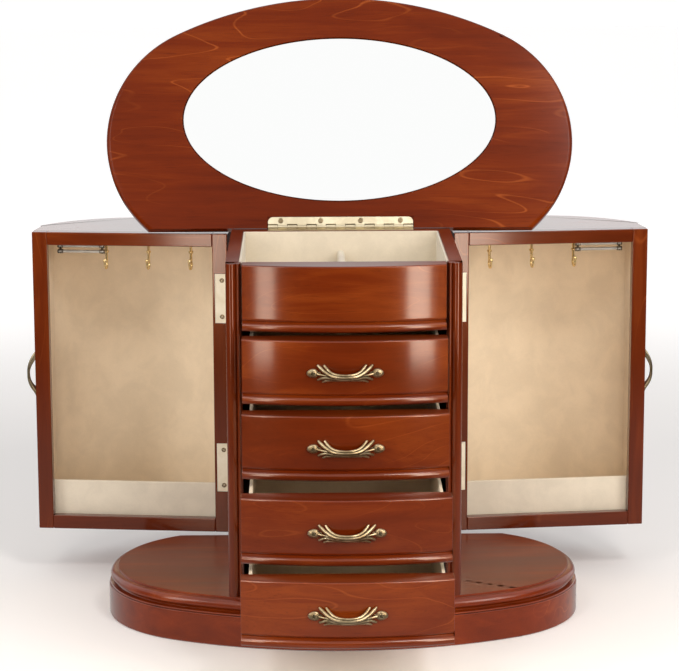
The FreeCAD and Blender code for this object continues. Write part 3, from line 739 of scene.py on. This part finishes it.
def makeColumn():
    for side, word in ((-1, "left"), (1, "right")):
        wear(nodes[word + "_side_panel"], wood["side"])
    wear(nodes["back_panel"], wood["plain"])
    # painted shade: the boards inside the case wear the darker copy of the cherry
    for node in ("dust_boards", "drawer_guides", "tray_floor"):
        wear(nodes[node], wood["dim"])
    posts = []
    for side in (-1, 1):
        post = slab("post", postPlan(side), column["foot"], column["top"])
        posts.append(soften(post, 0.8, 4, lambda edge: sharp(edge)
                            and middle(edge).z > (column["top"] - 0.1) * mm))
    merged = settle(merge("frontPosts", posts))
    stand(merged, "case", wood["post"], "cherry_wood", "front_posts")


makeColumn()
print("column made")


# bowed fronts: a side profile drawn out along X, then bent to the plan's curve

front = {"half": 77.5, "back": -89, "bend": 293, "bead": 7, "topRound": 1.3, "footRound": 2.2,
         "steps": 36}


def bow(x):
    # how far the face falls back from its crown
    return front["bend"] - math.sqrt(front["bend"] ** 2 - x * x)


def frontProfile(low, high):
    # (y, z) pairs round the section at mid-width: back, top, face, groove, bead
    crown = faceCentre - front["bend"]
    bead, topRound, footRound = front["bead"], front["topRound"], front["footRound"]
    points = [(front["back"], low + 0.4), (front["back"], high - 0.4), (front["back"] - 0.4, high)]
    points += [(crown + topRound + x, high - topRound + z)
               for x, z in arc((0, 0), topRound, math.pi / 2, math.pi, 6)]
    points += [(crown + footRound + x, low + bead + 3.2 + z)
               for x, z in arc((0, 0), footRound, math.pi, math.pi * 1.42, 6)]
    points += [(crown + 1.2, low + bead + 0.7), (crown + 0.6, low + bead + 0.2)]
    points += [(crown + 0.6 + 3.1 * x, low + bead / 2 + 3.3 * z)
               for x, z in arc((0, 0), 1.0, math.pi * 0.56, math.pi * 1.44, 12)]
    points += [(crown + 1.4, low)]
    return points


def bowedFront(name, low, high):
    profile = frontProfile(low, high)
    half = front["half"]
    rings = []
    for step in range(front["steps"] + 1):
        x = -half + 2 * half * step / front["steps"]
        fall = bow(x)
        rings.append([(x, y + fall if y < front["back"] - 1 else y, z) for y, z in profile])
    piece = loft(name, rings)
    ends = [-half * mm, half * mm]
    soften(piece, 0.35, 2, lambda edge: sharp(edge) and any(abs(middle(edge).x - end) < 1e-6
                                                            for end in ends))
    return settle(piece)


def makeTray():
    low, high = span("tray_front")
    face = bowedFront("trayFront", low.z, high.z - 0.2)  # clear of the closed lid
    stand(face, "case", wood["front"], "cherry_wood", "tray_front")
    low, high = span("tray_lining")
    rim = 1.6
    outer = board("trayLining", low, high, 0.5)
    inner = board("hollow", low + Vector((rim, rim, rim)), high + Vector((-rim, -rim, 5)), 0)
    stand(cutAway(outer, inner), "case", creamSeat, "cream_suede", "tray_lining")
    low, high = span("tray_divider")
    piece = board("trayDivider", low, high, 0)
    soften(piece, 2.8, 6, lambda edge: middle(edge).z > (high.z - 0.1) * mm
           and abs(edge.verts[0].co.y - edge.verts[1].co.y) > 0.01)
    stand(settle(piece), "case", creamSeat, "cream_suede", "tray_divider")


makeTray()
print("tray made")


# pulls: cast strands that meet in the middle of an arch

pull = {
    "reach": 24.25, "height": 25.44,
    # each strand from its tip to the middle: along, out, up, radius
    "strands": [
        [(20.4, 1.7, 6.1, 0.95), (18.4, 3.3, 4.3, 1.3), (15.0, 5.7, 1.6, 1.3),
         (10.0, 8.2, -0.8, 1.2), (5.0, 9.6, -1.6, 1.05), (0, 9.9, -1.8, 0.95)],
        [(15.6, 2.3, 6.1, 0.9), (13.6, 4.1, 3.7, 1.2), (10.4, 6.7, 1.3, 1.15),
         (6.5, 8.7, 0.2, 1.05), (3.0, 9.5, -0.1, 0.95), (0, 9.7, -0.2, 0.9)],
        [(20.4, 1.4, -4.9, 0.8), (17.6, 2.7, -3.6, 1.1), (13.2, 5.3, -2.7, 1.15),
         (8.6, 7.8, -2.8, 1.1), (4.0, 9.1, -3.1, 1.0), (0, 9.4, -3.3, 0.95)],
        [(17.0, 1.8, -6.4, 0.7), (14.2, 3.3, -5.2, 1.0), (10.6, 5.6, -4.4, 1.0),
         (6.5, 7.6, -4.2, 0.85), (3.0, 8.6, -4.2, 0.7), (0, 8.8, -4.2, 0.6)],
    ],
    "stem": [(21.0, 1.6, -0.4, 1.0), (17.0, 3.2, -1.0, 0.8), (12.0, 6.4, -1.3, 0.8),
             (7.0, 8.8, -1.4, 0.7)],
    "leaf": (4.5, 1.9, 3.5), "foot": (19.6, 0.9, -0.2), "voxel": 0.26, "screwOut": 2.85,
}


def makePull(name):
    # lies along X with its back on y = 0 and stands out towards -Y
    parts = []
    for number, half in enumerate(pull["strands"]):
        whole = half + [(-x, out, up, radius) for x, out, up, radius in reversed(half[:-1])]
        parts.append(strand("strand%d" % number, [(x, -out, up) for x, out, up, radius in whole],
                            [knot[3] for knot in whole]))
        for side in (-1, 1):
            tip = half[0]
            parts.append(ball("tip", (side * tip[0], -tip[1], tip[2]), (tip[3],) * 3, 6))
    for side in (-1, 1):
        parts.append(strand("stem", [(side * x, -out, up) for x, out, up, radius in pull["stem"]],
                            [knot[3] for knot in pull["stem"]]))
        end = ball("leaf", (side * (pull["reach"] + 0.3), -1.0, 0), pull["leaf"], 10)
        for vertex in end.data.vertices:
            outward = (vertex.co.x * side / mm - pull["reach"]) / pull["leaf"][0]
            vertex.co.z *= 1 - 0.18 * outward
            vertex.co.y = min(vertex.co.y, 0)
        parts.append(end)
        along, out, up = pull["foot"]
        parts.append(drum("foot", (side * along, -out, up), 1.3, 1.8, "Y", 0.2, 16))
    piece = merge(name, parts)
    pick(piece)
    remesh = piece.modifiers.new("cast", "REMESH")
    remesh.mode = "VOXEL"
    remesh.voxel_size = pull["voxel"] * mm
    bpy.ops.object.modifier_apply(modifier=remesh.name)
    melt = piece.modifiers.new("melt", "SMOOTH")
    melt.factor = 0.5
    melt.iterations = 3
    bpy.ops.object.modifier_apply(modifier=melt.name)
    bpy.ops.object.shade_smooth()
    for side in (-1, 1):
        screw = screwHead("screw", 1.9, 0.55)
        place(screw, Matrix.Translation(Vector((side * pull["reach"], -pull["screwOut"], 0)) * mm)
              @ Matrix.Rotation(math.pi / 2, 4, "X"))
        piece = merge(name, [piece, screw])
    return piece


def screwHead(name, radius, height):
    # a domed head with a crossed slot, standing on z = 0
    head = drum(name, (0, 0, height / 2), radius, height, "Z", height * 0.45, 28)
    for turn in (0.5, 0.5 + math.pi / 2):
        slot = board("slot", (-radius * 0.72, -0.2, height * 0.35),
                     (radius * 0.72, 0.2, height + 1), 0)
        place(slot, Matrix.Rotation(turn, 4, "Z"))
        head = cutAway(head, slot)
    return head


pullModel = makePull("pullModel")
print("pull made:", len(pullModel.data.polygons), "faces")


# drawers

drawer = {"rim": 2.5, "floor": 4.2}


def makeDrawers():
    low, high = span("drawer_1_front")
    shared = bowedFront("frontModel", 0, high.z - low.z)
    for number in (1, 2, 3, 4):
        body = "drawer_%d" % number
        low, high = span(body + "_front")
        shift = Matrix.Translation(Vector((0, high.y - front["back"], low.z)) * mm)
        face = place(copyOf(shared, "drawerFront%d" % number), shift)
        grain = cherry("cherryDrawer%d" % number, seed=10.0 + number * 1.37, figure=0.8)
        stand(face, body, grain, "cherry_wood", body + "_front")
        low, high = span(body + "_box")
        rim = drawer["rim"]
        outer = board("drawerBox%d" % number, low, high, 0.6)
        inner = board("hollow", low + Vector((rim, rim, drawer["floor"])),
                      high + Vector((-rim, -rim, 5)), 0)
        box = soften(cutAway(outer, inner), 0.5, 2,
                     lambda edge: sharp(edge) and middle(edge).z > (high.z - 0.1) * mm)
        stand(settle(box), body, cream, "cream_suede", body + "_box", body + "_lining")
        low, high = span(body + "_pull")
        piece = copyOf(pullModel, "drawerPull%d" % number)
        middleZ = span(body + "_front")[0].z + pull["height"]
        place(piece, Matrix.Translation(Vector((0, high.y, middleZ)) * mm))
        stand(piece, body, antique, "antique_brass", body + "_pull")
    bpy.data.objects.remove(shared)


makeDrawers()
print("drawers made")


# doors, modelled closed on the right and then mirrored and swung

door = {
    "chord": 90.8, "thick": 8, "back": 78.7, "front": 85.6, "foot": 39.5, "head": 294.5,
    "stile": 12.6, "topRail": 11, "bottomRail": 11.5, "board": 8.5,
    "wall": 8, "wallRadius": 93, "wallSteps": 56, "lining": 1.2,
    "pinY": 82.5, "hinges": (75, 219.5), "hingeTall": 41.4, "hingeSeat": 68.0,
    "screwIn": 8.5, "screwShares": (0.13, 0.87), "screwOut": 0.4,
    # hooks and the rail lie at distances from the pin; its brackets fill the levels bracketZ
    "hooks": (36.5, 72.3, 108), "hookIn": 7.5, "hookBend": 3.6, "hookTop": 284.6, "hookTurn": 268.0,
    "railStart": 110, "railLong": 37, "railIn": 2.6, "rods": (277.0, 281.6),
    "bracketZ": (275.2, 284.6), "pullZ": 170, "pullX": 110.3,
}


def makeFrame():
    chord, deep = door["chord"], door["chord"] + door["thick"]
    parts = {"stile": [], "rail": []}
    for low, high in ((-door["front"], door["stile"] - door["front"]),
                      (door["back"] - door["stile"], door["back"])):
        parts["stile"].append(board("stile", (chord, low, door["foot"]),
                                    (deep, high, door["head"]), 0.7, 3))
    inner = (door["stile"] - door["front"], door["back"] - door["stile"])
    for low, high in ((door["foot"], door["foot"] + door["bottomRail"]),
                      (door["head"] - door["topRail"], door["head"])):
        parts["rail"].append(board("rail", (chord, inner[0], low), (deep, inner[1], high), 0.7, 3))
    frameParts = {kind: merge(kind, pieces) for kind, pieces in parts.items()}
    for bottom in door["hinges"]:
        seat = board("seat", (chord - 1, door["hingeSeat"], bottom - 0.2),
                     (chord + 1.0, 90, bottom + door["hingeTall"] + 0.2), 0)
        frameParts["stile"] = cutAway(frameParts["stile"], seat)
    return frameParts


def makeDoorBoards():
    deep = door["chord"] + door["thick"]
    low, high = door["foot"], door["head"]
    plank = door["board"]
    pieces = {}
    rim = lambda edge: sharp(edge) and abs(edge.verts[0].co.z - edge.verts[1].co.z) < 1e-6
    pieces["top"] = soften(slab("top", doorPlan(deep, 0), high - plank, high), 1.4, 4, rim)
    pieces["bottom"] = soften(slab("bottom", doorPlan(deep, 0), low, low + plank), 1.4, 4, rim)
    shell = slab("shell", doorPlan(deep, 0), low + plank, high - plank)
    hollow = slab("hollow", doorPlan(deep - 2, door["wall"]), low, high)
    pieces["shell"] = cutAway(shell, hollow)
    skin = door["lining"]
    inner = slab("inner", doorPlan(deep - 3, door["wall"] + skin), low + plank + skin,
                 high - plank - skin)
    inner = soften(inner, 3.0, 4, lambda edge: sharp(edge) and middle(edge).x > (deep + 1) * mm)
    lining = slab("lining", doorPlan(deep, door["wall"]), low + plank, high - plank)
    pieces["lining"] = cutAway(lining, inner)
    return pieces


def makePocket():
    low, high = span("right_door_pocket_panel")
    deep = door["chord"] + door["thick"] + 1
    edge = door["wall"] + door["lining"]
    return board("pocket", (deep, edge - door["front"], low.z),
                 (deep + 2.5, door["back"] - edge, high.z), 1.1, 4)


def makeHooks():
    hooks = []
    x = door["chord"] + door["thick"] + door["hookIn"]
    bend = door["hookBend"]
    top, turn = door["hookTop"], door["hookTurn"]
    for distance in door["hooks"]:
        y = door["pinY"] - distance
        points = [(x, y, top), (x, y, 279), (x, y, turn + 1)]
        points += [(x - bend + bend * math.cos(angle), y, turn + bend * 1.35 * math.sin(angle))
                   for angle in [math.radians(-18 * step) for step in range(1, 9)]]
        points += [(x - 2 * bend + 0.3, y, turn + 0.9)]
        wire = strand("wire", points, [1.1] * 3 + [1.45] * 5 + [1.2] * 4, 3)
        parts = [wire, drum("collar", (x, y, top - 0.6), 2.3, 1.2, "Z", 0.4, 20),
                 drum("neck", (x, y, 276.4), 2.0, 2.2, "Z", 0.8, 20),
                 ball("tip", (x - 2 * bend + 0.2, y, turn + 1.6), (1.8, 1.8, 1.9), 8)]
        hooks.append(merge("hook", parts))
    return settle(merge("hooks", hooks))


def makeRail():
    x = door["chord"] + door["thick"] + door["railIn"]
    start = door["pinY"] - door["railStart"]
    end = start - door["railLong"]
    parts = []
    for z in door["rods"]:
        parts.append(drum("rod", (x, (start + end) / 2, z), 1.3, door["railLong"] + 3.4, "Y",
                          0.4, 24))
    posts = []
    low, high = door["bracketZ"]
    for y in (start - 0.8, end + 0.8):
        posts.append(board("bracket", (x - 1.2, y - 0.8, low), (x + 2.2, y + 0.8, high), 0.4))
        for z in door["rods"]:
            for aside in (-1.7, 1.7):
                posts.append(drum("collar", (x, y + aside, z), 1.85, 1.0, "Y", 0.3, 20))
    return settle(merge("rail", parts)), settle(merge("brackets", posts))


def makeScrews():
    heads = []
    for bottom in door["hinges"]:
        for share in door["screwShares"]:
            head = screwHead("head", 1.95, 0.7)
            spot = (door["chord"] + door["screwOut"], door["pinY"] - door["screwIn"],
                    bottom + door["hingeTall"] * share)
            heads.append(place(head, Matrix.Translation(Vector(spot) * mm)
                               @ Matrix.Rotation(-math.pi / 2, 4, "Y")))
    return merge("screws", heads)


def makeDoors():
    frameParts = makeFrame()
    boards = makeDoorBoards()
    hooks, pocket = makeHooks(), makePocket()
    rail, brackets = makeRail()
    handle = place(copyOf(pullModel, "doorPull"),
                   Matrix.Translation(Vector((door["pullX"], -door["front"], door["pullZ"])) * mm)
                   @ Matrix.Rotation(math.pi / 2, 4, "Y"))
    # each model with its name, finish, slot and the CAD node that it replaces
    kit = [
        (frameParts["stile"], "Stiles", "stile", "cherry_wood", "face_frame"),
        (frameParts["rail"], "Rails", "rail", "cherry_wood", "face_frame"),
        # painted light: the top board wears the lightened copy of the cherry
        (boards["top"], "TopBoard", "board", "cherry_wood", "top_board"),
        (boards["bottom"], "BottomBoard", "rail", "cherry_wood", "bottom_board"),
        (boards["shell"], "Shell", "stile", "cherry_wood", "shell"),
        (boards["lining"], "Lining", cream, "cream_suede", "lining"),
        (pocket, "Pocket", creamSeat, "cream_suede", "pocket_panel"),
        (hooks, "Hooks", gold, "gold_brass", "hooks"),
        (rail, "ChainRail", chrome, "polished_rod", "chain_rail"),
        (brackets, "RailBrackets", steel, "polished_rod", "chain_rail"),
        (makeScrews(), "HingeScrews", bronze, "pale_brass", "hinge_screws"),
        (handle, "Pull", antique, "antique_brass", "pull"),
    ]
    for side, word in ((1, "right"), (-1, "left")):
        for model, name, finish, slot, replaced in kit:
            title = word + name
            piece = copyOf(model, title) if side > 0 else mirrored(model, title)
            place(piece, doorOpen[side])
            material = wood[finish, side] if isinstance(finish, str) else finish
            stand(piece, word + "_door", material, slot, word + "_door_" + replaced)
        wear(nodes[word + "_door_hinge_leaves"], leaf)
    for entry in kit:
        bpy.data.objects.remove(entry[0])


makeDoors()
for node in ("door_hinge_fixed_leaves", "door_hinge_fixed_screws", "door_hinge_pins",
             "lid_hinge_fixed_leaf", "lid_hinge_pin"):
    wear(nodes[node], pale)
bpy.data.objects.remove(pullModel)
print("doors made")


# lid, modelled closed and then swung up

lid = {
    "low": 299.3, "offset": 4.5, "shift": 4.5, "back": 82.9,
    # the rounded rim from the inner face up, as (offset, level)
    "rim": [(-3.4, 0.0), (-2.0, 0.25), (-0.9, 0.9), (-0.25, 1.9), (0, 3.2), (0, 9.4), (-0.4, 11.2),
            (-1.5, 12.8), (-3.0, 13.7), (-4.8, 14.0)],
    "mirrorY": -12.5, "halfWide": 131.4, "halfTall": 72.6,
    "pinY": 81.8, "pinZ": 300.2, "hingeHalf": 60, "knuckles": 15,
    "screwY": 76.5, "screwApart": 33,
}


def ellipse(halfWide, halfTall, steps=120):
    return [(halfWide * math.cos(2 * math.pi * step / steps),
             lid["mirrorY"] + halfTall * math.sin(2 * math.pi * step / steps))
            for step in range(steps)]


def makeLid():
    low = lid["low"]
    rings = []
    for offset, z in lid["rim"]:
        back = lid["back"] + (offset if z > 7 else 0)  # only the outer face is rounded at the back
        rings.append([(x, y, low + z) for x, y in oval(lid["offset"] + offset, back, lid["shift"])])
    panel = fanEnds(loft("lidPanel", rings))
    well = slab("well", ellipse(lid["halfWide"], lid["halfTall"]), low - 3, low + 2.8)
    panel = cutAway(panel, well)
    panel = soften(panel, 0.7, 3, lambda line: sharp(line) and abs(middle(line).z - low * mm) < 1e-5
                   and abs(middle(line).x) < (lid["halfWide"] + 3.6) * mm
                   and middle(line).y < 60 * mm)
    half = lid["hingeHalf"] + 0.4
    notch = board("notch", (-half, lid["pinY"] - 2.5, low - 1),
                  (half, lid["back"] + 1, lid["pinZ"] + 2.5), 0)
    panel = cutAway(panel, notch)
    seat = board("seat", (-half, lid["pinY"] - 8.8, low - 1), (half, lid["pinY"], low + 0.95), 0)
    panel = cutAway(panel, seat)
    place(settle(panel), lidOpen)
    stand(panel, "lid", wood["lid"], "cherry_wood", "lid_panel")
    glass = slab("lidMirror", ellipse(lid["halfWide"] - 0.6, lid["halfTall"] - 0.6), low + 0.7,
                 low + 2.7)
    soften(glass, 0.5, 1, lambda line: sharp(line) and middle(line).z < (low + 0.8) * mm)
    place(settle(glass, 10), lidOpen)
    stand(glass, "lid", mirror, "mirror_glass", "lid_mirror")


def makeLidHinge():
    low = lid["low"]
    half = lid["hingeHalf"]
    near, far = lid["pinY"] - 8.6, lid["pinY"] - 2.3
    plate = board("plate", (-half, near, low - 0.1), (half, far, low + 0.9), 0)
    plate = soften(plate, 4.2, 6, lambda line: abs(line.verts[0].co.z - line.verts[1].co.z) > 1e-4
                   and middle(line).y < (near + 0.1) * mm)
    plate = soften(plate, 0.25, 2)
    heads = []
    for step in (-1.5, -0.5, 0.5, 1.5):
        spot = (lid["screwApart"] * step, lid["screwY"], low)
        plate = cutAway(plate, drum("sink", spot, 2.45, 1.2, "Z"))
        head = screwHead("head", 2.0, 0.8)
        heads.append(place(head, Matrix.Translation((Vector(spot) + Vector((0, 0, 0.6))) * mm)
                           @ Matrix.Rotation(math.pi, 4, "X")))
    parts = [plate]
    wide = 2 * half / lid["knuckles"]
    for number in range(1, lid["knuckles"], 2):
        x = -half + wide * (number + 0.5)
        parts.append(drum("knuckle", (x, lid["pinY"], lid["pinZ"]), 2.0, wide - 0.3, "X", 0.25))
        parts.append(board("tab", (x - wide / 2 + 0.15, far - 0.2, low - 0.1),
                           (x + wide / 2 - 0.15, lid["pinY"], low + 0.9), 0))
    hinge = place(settle(merge("lidHingeLeaf", parts)), lidOpen)
    stand(hinge, "lid", pale, "pale_brass", "lid_hinge_leaf")
    screws = place(settle(merge("lidHingeScrews", heads)), lidOpen)
    stand(screws, "lid", bronze, "pale_brass", "lid_hinge_screws")


makeLid()
makeLidHinge()
print("lid made")
